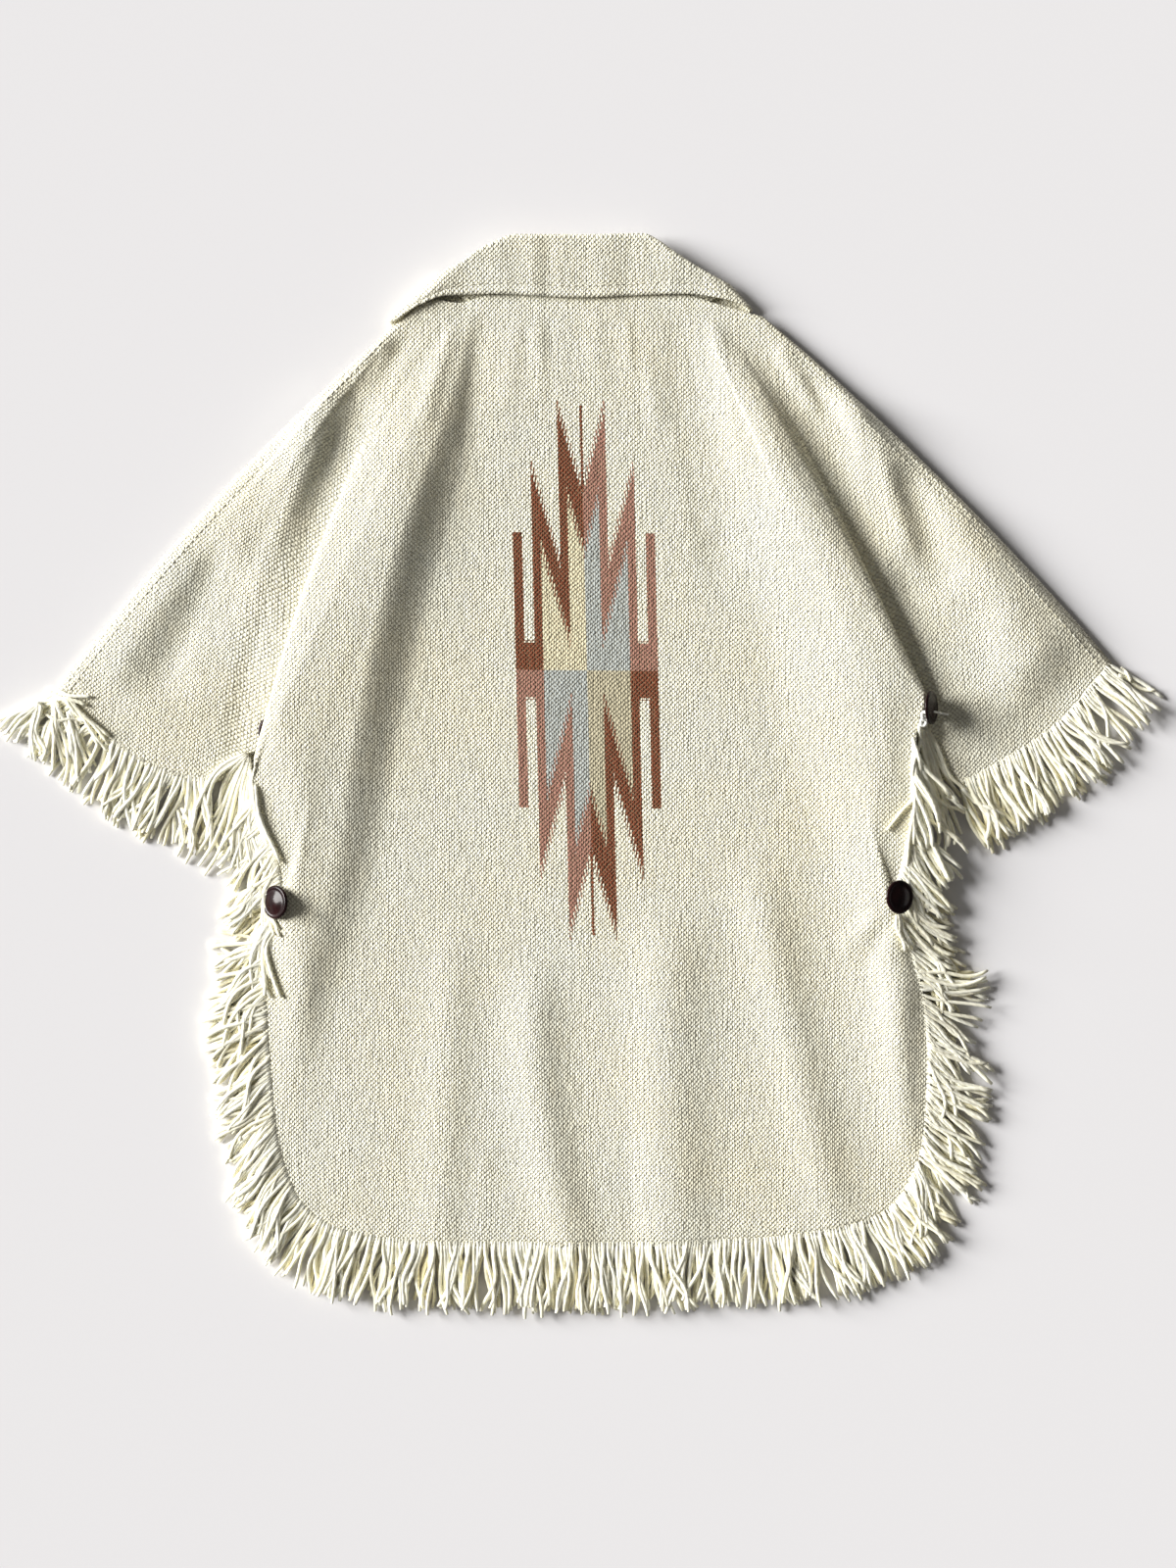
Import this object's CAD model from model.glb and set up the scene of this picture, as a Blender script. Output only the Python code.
"""The looks of the cape jacket, laid flat with its back uppermost and its collar towards +Y.

Tables and folds are in millimetres on the table that the jacket lies on, +Z up. SHIFT moves them
into the frame, and every mesh is made in metres.
"""
import math

import bmesh
import bpy
import numpy as np
from mathutils import Matrix, Vector
from mathutils.bvhtree import BVHTree


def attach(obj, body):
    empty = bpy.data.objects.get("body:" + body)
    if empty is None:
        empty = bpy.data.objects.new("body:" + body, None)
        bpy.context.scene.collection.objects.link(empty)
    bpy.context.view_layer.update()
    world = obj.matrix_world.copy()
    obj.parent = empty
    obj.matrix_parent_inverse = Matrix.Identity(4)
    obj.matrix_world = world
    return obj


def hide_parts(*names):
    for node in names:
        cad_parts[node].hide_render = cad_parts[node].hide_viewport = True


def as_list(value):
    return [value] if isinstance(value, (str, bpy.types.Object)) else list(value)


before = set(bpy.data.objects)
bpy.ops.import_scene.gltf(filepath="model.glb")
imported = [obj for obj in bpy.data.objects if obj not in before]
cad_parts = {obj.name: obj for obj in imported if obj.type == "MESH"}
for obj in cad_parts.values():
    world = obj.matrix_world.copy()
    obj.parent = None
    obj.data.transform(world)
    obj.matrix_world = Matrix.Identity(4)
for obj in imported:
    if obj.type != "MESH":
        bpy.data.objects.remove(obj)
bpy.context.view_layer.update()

MM = 0.001
SHIFT = np.array([3.1439, -0.6102, 0.0])  # from the tables' middle to the frame's, in mm

# ---- driving dimensions, as in the part's source ----
CLOTH = 2.0
COLLAR_CLOTH = 2.4
SEAM_GAP = 0.35
FRONT_REST = CLOTH / 2
COLLAR_LIFT = COLLAR_CLOTH + SEAM_GAP + 0.15
NECK_HALF = 88.0
NECK_BACK_Y = 367.0
NECK_DIP = 17.0
SHOULDER_SLOPE = 0.29
LEFT_EASE = 8.5  # how far the left shoulder is pushed up under the collar
EASE_AT, EASE_WIDTH, EASE_START = 116.0, 15.0, 12.0  # where it is most, its half width, its start
FRONT_OPENING = 1.5
FRONT_NECK_Y = 271.0
FRONT_INSET = 4.0
BUTTON_RADIUS = 12.5
YARN_RADIUS = 1.55
YARN_LENGTH = 50.0


# ---- small helpers on arrays ----
def mix(a, b, t):
    return a + (b - a) * t


def smooth(t):
    s = np.clip(t, 0, 1)
    return s * s * (3 - 2 * s)


def soft_max(a, b, soft):
    """The larger of two heights, rounded off where they are within a soft distance of each other."""
    h = np.maximum(soft - np.abs(a - b), 0) / soft
    return np.maximum(a, b) + h * h * soft / 4


def swell(x, middle, width):
    """1 at the middle, dying away on both sides of it."""
    return np.exp(-(((x - middle) / width) ** 2))


def unit(v):
    return v / np.maximum(np.linalg.norm(v, axis=-1, keepdims=True), 1e-9)


def stack(*columns):
    return np.stack(np.broadcast_arrays(*columns), axis=-1).astype(float)


class TableCurve:
    """A smooth curve through a table's rows: each column is a cubic in the distance along its points."""

    def __init__(self, names, rows, x_key="edge_x", y_key="edge_y"):
        self.names = [row[0] for row in rows]
        self.columns = {n: np.array([row[i + 1] for row in rows], float) for i, n in enumerate(names)}
        steps = np.hypot(np.diff(self.columns[x_key]), np.diff(self.columns[y_key]))
        self.at = np.concatenate([[0], np.cumsum(np.maximum(steps, 1))])
        self.slopes = {n: self.slope(values) for n, values in self.columns.items()}

    def slope(self, values):
        rise = np.diff(values) / np.diff(self.at)
        before, after = rise[:-1], rise[1:]
        w = np.diff(self.at)[1:] / (self.at[2:] - self.at[:-2])
        turned = before * after <= 0
        weighed = np.where(turned, 1, before * w + after * (1 - w))
        inner = np.where(turned, 0, before * after / weighed)
        return np.concatenate([[rise[0]], inner, [rise[-1]]])

    def value(self, u, key):
        """u counts rows: 2.5 is half way from row 2 to row 3."""
        u = np.asarray(u, float)
        i = np.clip(np.floor(u).astype(int), 0, len(self.at) - 2)
        f = u - i
        long = self.at[i + 1] - self.at[i]
        a, b = self.columns[key][i], self.columns[key][i + 1]
        ma, mb = self.slopes[key][i] * long, self.slopes[key][i + 1] * long
        f2, f3 = f * f, f * f * f
        return (2 * f3 - 3 * f2 + 1) * a + (f3 - 2 * f2 + f) * ma + (3 * f2 - 2 * f3) * b + (f3 - f2) * mb

    def index(self, name):
        return self.names.index(name)

    def along(self, share, first=0, last=None):
        """The place u at a share of the way along the rows from first to last."""
        last = len(self.at) - 1 if last is None else last
        length = mix(self.at[first], self.at[last], np.asarray(share, float))
        return np.interp(length, self.at, np.arange(len(self.at)))


# ---- the back: sections that run from the neck to the outer edge ----
BACK_COLUMNS = ["neck", "edge_x", "edge_y", "bow", "z_start", "z_high", "z_low", "z_edge", "sleeve", "body"]
BACK = TableCurve(BACK_COLUMNS, [
    ["left shoulder seam", -130, -389, 66, 11, 6.2, 4.2, 3.9, 3.9, 0, 0],
    ["left seam roll", -126, -383, 56, 10, 7.5, 9.5, 9, 6.5, 0.4, 0],
    ["left cuff", -122, -349, 27, 21, 8, 12, 11, 5.5, 1, 0],
    ["left cuff low", -118, -318, 7, 27, 8, 12, 10, 5.2, 1, 0],
    ["left cuff corner", -113, -276, -3, 36, 8, 9.5, 8.5, 5.2, 1, 0],
    ["left under fold", -107, -257, 10, 32, 8, 7.5, 6, 5.5, 0.7, 0],
    ["left inner turn", -98, -207, 46, 30, 8, 11, 13.5, 13, 0, 0],
    ["left fold low", -92.5, -238.5, 19.5, 22, 7.6, 13, 14, 13.5, 0, 0.3],
    ["left fold edge", -88, -243, 16, 17, 7.2, 15.6, 17, 15.5, 0, 0.6],
    ["left fold top", -84, -244, 8, 9, 7.2, 18.2, 19.6, 16.5, 0, 1],
    ["left underarm", -80, -246, -4, 4, 7.2, 20.4, 21, 14.5, 0, 1],
    ["left side", -76, -231, -58, 5, 7.2, 21.6, 20, 12.5, 0, 1],
    ["left button notch", -72, -227, -82, 3, 7.2, 21.2, 18.6, 11, 0, 1],
    ["left side low", -66, -239, -152, -4, 7.2, 20.4, 16, 7, 0, 1],
    ["left skirt", -56, -233, -250, -5, 7.2, 18.6, 12, 4.8, 0, 1],
    ["left hem corner", -48, -217, -306, -2, 7.2, 15, 8, 4.1, 0, 1],
    ["left hem", -38, -178, -334, 1, 7.2, 8.5, 6.5, 4, 0, 1],
    ["left hem inner", -26, -115, -342, 0, 7.2, 8, 6.5, 4, 0, 1],
    ["centre hem", 0, 0, -343, 0, 7.2, 8, 6.5, 4, 0, 1],
    ["right hem inner", 26, 120, -340, 0, 7.2, 8, 6.5, 4, 0, 1],
    ["right hem", 40, 192, -330, 0, 7.2, 8.5, 6.5, 4, 0, 1],
    ["right hem corner", 48, 229, -311, 1, 7.2, 11.5, 9, 5, 0, 1],
    ["right skirt", 54, 248, -266, 3, 7.2, 16.5, 12, 7, 0, 1],
    ["right side low", 60, 252, -205, 6, 7.2, 19.5, 15.5, 9.5, 0, 1],
    ["right side", 66, 239, -128, 3, 7.2, 21, 18, 11.5, 0, 1],
    ["right button notch", 71, 227, -94, -6, 7.2, 21.5, 19, 13, 0, 1],
    ["right flank", 74, 239, -30, -2, 7.2, 22, 21.5, 17.5, 0, 1],
    ["right underarm", 77.5, 240, 32, 6, 7.2, 22.5, 23, 19.8, 0, 1],
    ["right fold top", 81, 246, 55, 3, 7.2, 21.5, 23.2, 20, 0, 1],
    ["right fold edge", 85, 245, 64, -4, 7.2, 18, 20.5, 18, 0, 0.6],
    ["right fold low", 89.5, 242, 63, -9, 7.4, 12.2, 15, 14.4, 0, 0.3],
    ["right inner turn", 97, 219, 56, -18, 7.6, 8.6, 11, 11.5, 0, 0],
    ["right under fold", 107, 254, 5, -24, 7.6, 6.6, 6, 5.5, 0.7, 0],
    ["right cuff corner", 113, 271, -4, -31, 8, 9, 8, 5.2, 1, 0],
    ["right cuff low", 118, 306, 12, -28, 8, 11.5, 10, 5.2, 1, 0],
    ["right cuff", 121, 345, 38, -22, 8, 12, 11, 5.5, 1, 0],
    ["right seam roll", 124.5, 378, 75, -11, 7.5, 9.5, 9, 6.5, 0.4, 0],
    ["right shoulder seam", 128, 384, 85, -7, 6.2, 4.2, 3.9, 3.9, 0, 0],
])
HIGH_AT, LOW_AT = 0.4, 0.84

# Folds as ridges (+) and troughs (-): zone, start, end, sideways bow, half widths, heights.
MAIN_FOLDS = [
    ("body", 64, 352, 104, 130, 4, 7, 13, -3.2, -2.4),
    ("body", -36, 338, -26, 272, 0, 8, 10, 2, 1.2),
    ("body", 28, 338, 52, 252, 0, 9, 11, 1.6, 1.2),
    ("body", -98, -90, -112, -384, 0, 15, 16, 1.6, 2.2),
    ("body", -40, -118, 4, -384, 15, 17, 17, 3.4, 3.8),
    ("body", 60, -74, 68, -384, 6, 25, 26, 4, 3.8),
    ("body", 117, -40, 190, -360, 2, 17, 17, 3.4, 3),
    ("body", 228, -130, 238, -290, 4, 13, 13, 3, 2.4),
    ("sleeve", -186, 306, -230, 6, 10, 19, 26, 6.6, 6),
    ("sleeve", -262, 178, -330, 52, -6, 18, 20, -5, -4),
    ("sleeve", -146, 326, -172, 282, 0, 7, 8, 2.2, 1.5),
    ("sleeve", 182, 292, 236, 146, -6, 13, 14, 5, 4),
    ("sleeve", 226, 236, 266, 130, 0, 14, 16, -3, -3),
    ("sleeve", 262, 222, 346, 60, -6, 26, 32, 4, 5),
]
# Softer creases that only the looks have.
FINE_FOLDS = [
    ("body", -74, 348, -88, 226, 3, 6, 9, -2.0, -1.6),
    ("body", -96, 344, -122, 250, 2, 6, 8, 1.8, 1.4),
    ("body", -30, 350, -27, 262, 0, 5, 7, -1.8, -1.2),
    ("body", -52, 346, -60, 262, 0, 7, 9, 1.2, 0.8),
    ("body", 36, 348, 44, 240, 2, 5, 7, -1.6, -1.0),
    ("body", 91, 344, 120, 214, 3, 6, 9, 1.8, 1.2),
    ("body", 6, 350, 8, 276, 0, 8, 9, 1.0, 0.6),
    ("body", -214, -92, -178, -104, 2, 4, 7, -1.8, -0.8),
    ("body", 216, -96, 184, -132, 2, 4, 8, 2.2, 1.0),
    ("body", 222, -104, 198, -150, 2, 4, 8, -2.4, -1.0),
    ("body", 30, -240, 34, -380, 0, 6, 6, -0.8, -1.4),
    ("body", -76, -250, -80, -384, 0, 7, 7, 0.6, 1.2),
    ("sleeve", -150, 318, -178, 268, 0, 5, 7, -2.0, -1.4),
    ("sleeve", -132, 326, -146, 290, 0, 4, 6, -1.4, -1.0),
    ("sleeve", -172, 290, -228, 80, 2, 8, 11, -1.8, -1.6),
    ("sleeve", -300, 150, -356, 60, 4, 9, 10, 2.0, 1.6),
    ("sleeve", -236, 214, -300, 60, 4, 8, 10, 1.2, 1.2),
    ("sleeve", 138, 322, 170, 264, 2, 6, 8, 2.4, 1.8),
    ("sleeve", 158, 300, 204, 236, 2, 5, 7, -2.2, -1.8),
    ("sleeve", 200, 268, 246, 112, 4, 6, 9, -2.6, -2.0),
    ("sleeve", 300, 130, 322, 40, 2, 12, 14, 1.6, 1.2),
    ("sleeve", 280, 210, 330, 150, 2, 9, 9, -1.2, -1.0),
]
FOLD_FADE = 0.22  # share of a fold's length over which each end dies away
FOLD_STRENGTH = 1.3  # how much higher the main folds are here than in the part's source


def fold_height(x, y, zone, folds):
    height = np.zeros_like(x)
    for fold_zone, x0, y0, x1, y1, bow, w0, w1, h0, h1 in folds:
        if fold_zone != zone:
            continue
        long = math.hypot(x1 - x0, y1 - y0)
        ux, uy = (x1 - x0) / long, (y1 - y0) / long
        along = ((x - x0) * ux + (y - y0) * uy) / long
        side = (y - y0) * ux - (x - x0) * uy + bow * 4 * along * (1 - along)
        ends = smooth(along / FOLD_FADE) * smooth((1 - along) / FOLD_FADE)
        width = mix(w0, w1, np.clip(along, 0, 1))
        height += mix(h0, h1, along) * ends * swell(side, 0, width)
    return height


def neck_y(x):
    out = np.abs(x)
    inner = NECK_BACK_Y - NECK_DIP * (out / NECK_HALF) ** 2
    outer = NECK_BACK_Y - NECK_DIP - (out - NECK_HALF) * SHOULDER_SLOPE
    ease = LEFT_EASE * swell(out, EASE_AT, EASE_WIDTH) * smooth((out - NECK_HALF) / EASE_START)
    outer = outer + np.where(x < 0, ease, 0)
    return np.where(out <= NECK_HALF, inner, outer)


# Where the flat middle of the body rises to the full cloth at its sides: y, x, width of the rise.
RISES = {
    -1: [(-343, -222, 42), (-300, -216, 40), (-244, -211, 40), (-172, -201, 39), (-122, -183, 38),
         (-61, -168, 37), (-4, -161, 37), (53, -151, 38), (109, -140, 38), (163, -127, 38),
         (219, -106, 36), (260, -93, 30), (345, -77, 17)],
    1: [(-343, 232, 50), (-255, 215, 44), (-199, 209, 44), (-117, 196, 50), (-61, 190, 60),
        (-8, 176, 72), (58, 163, 82), (143, 150, 82), (228, 118, 60), (300, 92, 34), (353, 80, 16)],
}
EVENED_OVER = (-24, -8, 8, 24)  # the lines between these rows are evened out over such steps in y


def rise_line(side, y, column):
    """A column of RISES at y: 1 is where the rise lies, 2 how wide it is."""
    rows = np.array(RISES[side], float)
    return sum(np.interp(y + off, rows[:, 0], rows[:, column]) for off in EVENED_OVER) / len(EVENED_OVER)


def fullness(x, y):
    """1 at the full sides of the body and 0 in its flat middle."""
    parts = [smooth(side * (x - rise_line(side, y, 1)) / rise_line(side, y, 2) + 0.5) for side in (-1, 1)]
    return np.maximum(*parts)


NECK_MIDDLE = np.array([0.0, 318.0])
LIFT_FULL, LIFT_NONE = 150.0, 215.0


def front_height(x, y):
    """How far the fronts are raised by the fall of the collar that lies under them."""
    away = np.hypot(x - NECK_MIDDLE[0], y - NECK_MIDDLE[1])
    return FRONT_REST + COLLAR_LIFT * (1 - smooth((away - LIFT_FULL) / (LIFT_NONE - LIFT_FULL)))


# How much closer the grid is round the rows where the cloth turns over.
CLOSER = {"under fold": 2.0, "inner turn": 3.0, "fold low": 5.0, "fold edge": 5.0, "fold top": 3.0}


def row_spread():
    """The rows' places along the edge, drawn apart where the cloth needs more of the grid."""
    closer = np.ones(len(BACK.at) - 1)
    for side in ("left", "right"):
        for name, much in CLOSER.items():
            i = BACK.index(f"{side} {name}")
            for k in (i - 1, i):
                closer[k] = max(closer[k], much)
    return np.concatenate([[0], np.cumsum(np.diff(BACK.at) * closer)])


ROW_SPREAD = row_spread()


def back_rows(a):
    return np.interp(a * ROW_SPREAD[-1], ROW_SPREAD, np.arange(len(ROW_SPREAD)))


def section_height(u, t):
    """The height of a section of the back at a share t of its way out, without folds."""
    keys, at = ["z_start", "z_high", "z_low", "z_edge"], [0, HIGH_AT, LOW_AT, 1]
    z = [BACK.value(u, key) for key in keys]
    parts = [mix(z[i], z[i + 1], smooth((t - at[i]) / (at[i + 1] - at[i]))) for i in range(3)]
    return np.where(t < HIGH_AT, parts[0], np.where(t < LOW_AT, parts[1], parts[2]))


def bowed(start, edge, bow, t):
    """The plan of a section that bends outwards on its way from start to edge."""
    run = edge - start
    across = unit(np.stack([-run[..., 1], run[..., 0]], axis=-1))
    return start + run * t[..., None] - across * (bow * 4 * t * (1 - t))[..., None]


REST_EASE, REST_SOFT = 0.3, 2.0  # how clear of the fronts the back lies, and how softly it meets them


def back_point(u, t):
    """The middle surface of the back, at row u and a share t of the way from the neck to the edge."""
    u, t = np.broadcast_arrays(np.asarray(u, float), np.asarray(t, float))
    neck = BACK.value(u, "neck")
    start = stack(neck, neck_y(neck))
    edge = stack(BACK.value(u, "edge_x"), BACK.value(u, "edge_y"))
    plan = bowed(start, edge, BACK.value(u, "bow"), t)
    x, y = plan[..., 0], plan[..., 1]
    height = section_height(u, t)
    flat = section_height(np.full_like(u, BACK.index("centre hem")), t)
    part_of_body = np.clip(BACK.value(u, "body"), 0, 1)
    height = mix(height, mix(flat, height, fullness(x, y)), part_of_body)
    for zone in ("sleeve", "body"):
        share = np.clip(BACK.value(u, zone), 0, 1)
        main, fine = (fold_height(x, y, zone, folds) for folds in (MAIN_FOLDS, FINE_FOLDS))
        height = height + share * (FOLD_STRENGTH * main + fine)
    rest = front_height(x, y) + CLOTH + SEAM_GAP + REST_EASE
    return stack(x, y, soft_max(height, rest, REST_SOFT))


# ---- the fronts ----
FRONT_NECK = TableCurve(["share", "x", "y"], [
    ["shoulder", 0, -NECK_HALF, 349],
    ["side", 0.3, -82, 324],
    ["low", 0.6, -58, 292],
    ["inner", 0.8, -30, 276],
    ["opening", 1, -FRONT_OPENING, FRONT_NECK_Y],
], "x", "y")
# Where each front's edge passes under the arm, between the rows that it has from the back.
UNDERARM_EDGE, UNDERARM_BOW = {"left": (-232, 26), "right": (232, 40)}, -10
FRONT_ROWS = {
    "left": ["shoulder seam", "cuff", "cuff low", "cuff corner", None, "side", "button notch", "side low",
             "skirt", "hem corner", "hem", "hem inner"],
    "right": ["shoulder seam", "cuff", "cuff low", "cuff corner", None, "flank", "button notch", "side",
              "skirt", "hem corner", "hem", "hem inner"],
}
SIDE_ROWS, HEM_ROWS = range(5, 10), range(9, 12)  # those that lie inside the back's edge
SKIRT_BOW = 0.4  # how much of the back's bow the fronts have there
OPENING_ROWS = (("front opening foot", -339), ("front opening", -40), ("front opening head", 226))


def front_neck(share):
    u = np.interp(share, FRONT_NECK.columns["share"], np.arange(len(FRONT_NECK.names)))
    return stack(FRONT_NECK.value(u, "x"), FRONT_NECK.value(u, "y"))


def front_curve(side):
    """A front's outer edge, from its shoulder seam round the hem to the head of its opening."""
    sign = -1 if side == "left" else 1
    rows = []
    for i, name in enumerate(FRONT_ROWS[side]):
        if name is None:
            rows.append(["underarm", *UNDERARM_EDGE[side], UNDERARM_BOW * sign])
            continue
        name = f"{side} {name}"
        x, y, bow = (BACK.columns[key][BACK.index(name)] for key in ("edge_x", "edge_y", "bow"))
        x -= sign * FRONT_INSET * (i in SIDE_ROWS)
        y += FRONT_INSET * (i in HEM_ROWS)
        rows.append([name, x, y, bow * SKIRT_BOW if i in SIDE_ROWS or i in HEM_ROWS else bow])
    rows[0][1] += -sign
    rows += [[name, sign * FRONT_OPENING, y, 0] for name, y in OPENING_ROWS]
    along = np.arange(len(rows)) / (len(rows) - 1)
    shares = mix(along, smooth(along), 0.5)
    table = [[*row, share] for row, share in zip(rows, shares)]
    return TableCurve(["edge_x", "edge_y", "bow", "share"], table)


def front_point(curve, sign, u, t):
    u, t = np.broadcast_arrays(np.asarray(u, float), np.asarray(t, float))
    start = front_neck(curve.value(u, "share")) * np.array([-sign, 1])
    edge = stack(curve.value(u, "edge_x"), curve.value(u, "edge_y"))
    plan = bowed(start, edge, curve.value(u, "bow"), t)
    return stack(plan[..., 0], plan[..., 1], front_height(plan[..., 0], plan[..., 1]))


# ---- the collar ----
COLLAR_COLUMNS = ["neck", "roll_x", "roll_y", "stand_z", "fall_z", "edge_x", "edge_y", "edge_z"]
COLLAR_NAMES = {6: "fall left", 15: "fall right"}
COLLAR = TableCurve(COLLAR_COLUMNS, [[COLLAR_NAMES.get(i, ""), *row] for i, row in enumerate([
    [-1.97, -9, 291, 4.2, 1.3, -50, 234, 1.3],
    [-1.6, -44, 317, 4.2, 1.3, -92, 268, 1.3],
    [-1.3, -70, 350, 4.2, 1.3, -128, 306, 1.3],
    [-1.12, -84, 359, 4.2, 1.3, -139, 320, 1.3],
    [-1.01, -103, 365.5, 4.2, 1.3, -143, 331, 1.3],
    [-1, -110, 368, 5.2, 5.2, -146, 336, 5.2],
    [-0.97, -104, 372, 8, 10.4, -143, 335, 9.6],
    [-0.88, -92, 378, 8.8, 12.6, -125, 346, 11.2],
    [-0.7, -74, 390, 9.4, 13.4, -102, 354, 10.6],
    [-0.45, -52, 397.6, 9.8, 13.6, -66, 355, 9.8],
    [0, -4, 397.4, 9.8, 13.6, -7, 352.5, 9.7],
    [0.4, 40, 398.2, 9.8, 13.6, 46, 354.5, 9.7],
    [0.5, 51, 393.5, 9.7, 13.4, 58, 354.8, 9.8],
    [0.61, 60, 387, 9.6, 13.2, 72, 355, 9.9],
    [0.85, 80, 374, 8.8, 12, 99, 351.5, 10.4],
    [0.97, 98, 364, 8, 9.8, 115, 346.5, 9.6],
    [1, 104, 361, 5.2, 5.2, 120, 343, 5.2],
    [1.01, 100, 358, 4.2, 1.3, 117, 340, 1.3],
    [1.12, 84, 357, 4.2, 1.3, 118, 322, 1.3],
    [1.3, 70, 350, 4.2, 1.3, 120, 306, 1.3],
    [1.6, 44, 317, 4.2, 1.3, 92, 268, 1.3],
    [1.97, 9, 291, 4.2, 1.3, 50, 234, 1.3],
])], "roll_x", "roll_y")
BEND_LEAST = 1.4
CORNER_EASE, CORNER_AT, CORNER_REACH = 5.0, 1.04, 0.07
SEAM_OUT, SEAM_Z = [0, 0.8, 1, 1.02, 1.1, 2], [7.2, 7.2, 5.2, 4.4, 3.9, 3.9]
# Soft rises and dips along the fall of the collar: x, half width, height.
COLLAR_WAVES = [(-40, 7, 0.9), (-29, 5, -0.5), (-66, 10, 0.6), (-90, 8, -0.4), (12, 9, 0.6), (30, 6, -0.5),
                (62, 8, 0.7), (84, 6, -0.5)]
WAVES_FROM, WAVES_OVER = 1.4, 0.8  # where across the collar they begin, and over how much they grow
COLLAR_END = 0.98  # share of the neck past which the collar turns under
TOPSTITCH_IN, TOPSTITCH_DEEP, TOPSTITCH_WIDTH = 8.5, 0.55, 1.6
LIP_HIGH, LIP_WIDTH = 0.35, 4.0  # the edge outside the topstitching stands up a little
FRONT_CLEAR = 1.2  # how much clearer of its seam the collar is on the fronts


def seam_point(neck):
    """Where the collar is sewn on: neck runs from -1 to 1 along the back and on to 2 down each front."""
    out = np.abs(neck)
    z = np.interp(out, SEAM_OUT, SEAM_Z)
    clear = SEAM_GAP + CORNER_EASE * swell(out, CORNER_AT, CORNER_REACH)
    on_back = stack(neck * NECK_HALF, neck_y(neck * NECK_HALF) + clear)
    on_front = front_neck(np.clip(out - 1, 0, 1))
    on_front = on_front * np.stack([-np.sign(neck), np.ones_like(neck)], axis=-1)
    on_front = on_front + unit(NECK_MIDDLE - on_front) * (clear * FRONT_CLEAR)[..., None]
    plan = np.where((out <= 1)[..., None], on_back, on_front)
    return stack(plan[..., 0], plan[..., 1], z)


def collar_point(u, across):
    """across: 0 to 1 is the stand, 1 to 2 the roll, 2 to 3 the fall."""
    u, across = np.broadcast_arrays(np.asarray(u, float), np.asarray(across, float))
    value = {key: COLLAR.value(u, key) for key in COLLAR_COLUMNS}
    seam = seam_point(value["neck"])
    edge = stack(value["edge_x"], value["edge_y"], value["edge_z"])
    middle = (value["stand_z"] + value["fall_z"]) / 2
    roll = stack(value["roll_x"], value["roll_y"], middle)
    half = (value["fall_z"] - value["stand_z"]) / 2
    bend = np.maximum(BEND_LEAST, np.abs(half))

    def shoulder(towards, z):
        step = (towards - roll) * np.array([1, 1, 0])
        return (roll + unit(step) * bend[..., None]) * np.array([1, 1, 0]) + stack(0 * z, 0 * z, z)

    inner, outer = shoulder(seam, value["stand_z"]), shoulder(edge, value["fall_z"])
    turn = (across - 1.5) * math.pi
    aside = np.where((turn < 0)[..., None], inner, outer)
    rolled = roll + (aside - roll) * np.array([1, 1, 0]) * (1 - np.cos(turn))[..., None]
    rolled[..., 2] = middle + half * np.sin(turn)
    stand = seam + (inner - seam) * np.clip(across, 0, 1)[..., None]
    fall = outer + (edge - outer) * np.clip(across - 2, 0, 1)[..., None]
    point = np.where((across < 1)[..., None], stand, np.where((across < 2)[..., None], rolled, fall))
    on_back = (np.abs(value["neck"]) < COLLAR_END) & (across > WAVES_FROM)
    waves = sum(h * swell(point[..., 0], x, w) for x, w, h in COLLAR_WAVES)
    waves = waves * smooth((across - WAVES_FROM) / WAVES_OVER)
    width = np.linalg.norm((edge - outer)[..., :2], axis=-1)
    inside = (3 - across) * width
    groove = -TOPSTITCH_DEEP * swell(inside, TOPSTITCH_IN, TOPSTITCH_WIDTH) * (across > 2)
    lip = LIP_HIGH * smooth((TOPSTITCH_IN - inside) / LIP_WIDTH) * (across > 2)
    point[..., 2] += np.where(on_back, waves + groove + lip, 0)
    return point


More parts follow.
